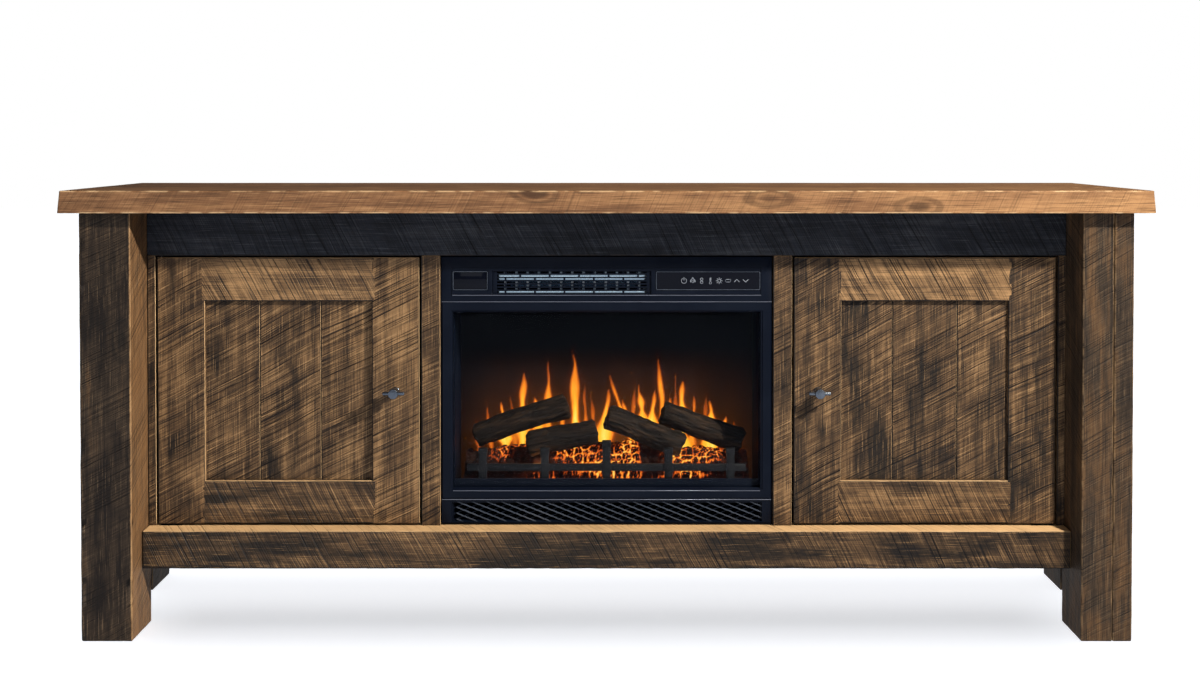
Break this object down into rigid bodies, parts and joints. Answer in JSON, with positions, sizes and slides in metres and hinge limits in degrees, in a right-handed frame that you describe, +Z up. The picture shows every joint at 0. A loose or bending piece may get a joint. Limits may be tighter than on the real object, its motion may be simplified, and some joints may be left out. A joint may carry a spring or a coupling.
{
  "type": "electric fireplace console",
  "caption": "Rustic timber media console with an electric fireplace insert between framed doors, heater outlet, touch panel and log fire behind glass.",
  "frame": {"origin": "on the floor, under the middle of the top's outline", "axes": "+X to the right of someone facing the front, -Y out of the front, +Z up"},
  "size_m": [1.829, 0.406, 0.765],
  "materials": {
    "topTimber": "oiled reddish-brown rough-sawn planks, satin",
    "darkTimber": "dark espresso stain over rough-sawn timber, satin",
    "brownTimber": "brown stain over rough-sawn timber with golden worn edges, satin",
    "plainBoard": "plain stained board, matt",
    "darkIron": "dark forged iron, waxed",
    "plainSteel": "zinc-plated steel",
    "blackCoat": "black powder coat with a faint blue cast",
    "blackGloss": "gloss black touch pane",
    "brightSteel": "bright steel wire and fins",
    "clearGlass": "clear tempered glass",
    "screenPlastic": "smoked acrylic",
    "emberResin": "translucent ember-coloured resin with dark crust",
    "logResin": "painted resin logs with bark",
    "mirrorFoil": "bright aluminium",
    "circuitBoard": "green circuit board",
    "blackNylon": "moulded black nylon"
  },
  "bodies": {
    "cabinet": {"top": "topTimber", "leg_front_left": "darkTimber", "leg_front_right": "darkTimber", "leg_back_left": "darkTimber", "leg_back_right": "darkTimber", "apron": "darkTimber", "side_rail_left": "darkTimber", "side_rail_right": "darkTimber", "back_rail_top": "darkTimber", "back_rail_bottom": "darkTimber", "bottom_rail": "brownTimber", "outer_stile_left": "brownTimber", "outer_stile_right": "brownTimber", "inner_stile_left": "brownTimber", "inner_stile_right": "brownTimber", "side_panel_left": "brownTimber", "side_panel_right": "brownTimber", "back_panel": "plainBoard", "cabinet_floor": "plainBoard", "partition_left": "plainBoard", "partition_right": "plainBoard", "shelf_left": "plainBoard", "shelf_right": "plainBoard", "pivot_top_left": "plainSteel", "pivot_bottom_left": "plainSteel", "pivot_top_right": "plainSteel", "pivot_bottom_right": "plainSteel", "spinner_motor": "plainSteel", "blower_motor": "plainSteel", "bezel": "blackCoat", "lower_grille": "blackCoat", "insert_housing": "blackCoat", "grate": "blackCoat", "touch_panel": "blackGloss", "outlet_grille": "brightSteel", "heating_element": "brightSteel", "front_glass": "clearGlass", "flame_screen": "screenPlastic", "ember_bed": "emberResin", "log_back_left": "logResin", "log_front_left": "logResin", "log_middle_right": "logResin", "log_back_right": "logResin", "led_strip": "circuitBoard", "control_board": "circuitBoard", "power_inlet": "blackNylon"},
    "door_left": {"door_hinge_stile_left": "brownTimber", "door_lock_stile_left": "brownTimber", "door_top_rail_left": "brownTimber", "door_bottom_rail_left": "brownTimber", "door_panel_left": "brownTimber", "knob_left": "darkIron"},
    "door_right": {"door_hinge_stile_right": "brownTimber", "door_lock_stile_right": "brownTimber", "door_top_rail_right": "brownTimber", "door_bottom_rail_right": "brownTimber", "door_panel_right": "brownTimber", "knob_right": "darkIron"},
    "flame_spinner": {"flame_spinner": "mirrorFoil"},
    "blower_wheel": {"blower_wheel": "mirrorFoil"}
  },
  "joints": [
    {"name": "door_left_swing", "type": "hinge", "parent": "cabinet", "child": "door_left", "pos_m": [-0.779, -0.085, 0.4105], "axis": [0, 0, -1], "range_deg": [0, 95]},
    {"name": "door_right_swing", "type": "hinge", "parent": "cabinet", "child": "door_right", "pos_m": [0.779, -0.085, 0.4105], "axis": [0, 0, 1], "range_deg": [0, 95]},
    {"name": "flame_spinner_turn", "type": "hinge", "parent": "cabinet", "child": "flame_spinner", "pos_m": [0, 0.0655, 0.262], "axis": [1, 0, 0], "continuous": true},
    {"name": "blower_wheel_turn", "type": "hinge", "parent": "cabinet", "child": "blower_wheel", "pos_m": [-0.061, 0.043, 0.5995], "axis": [1, 0, 0], "continuous": true}
  ]
}
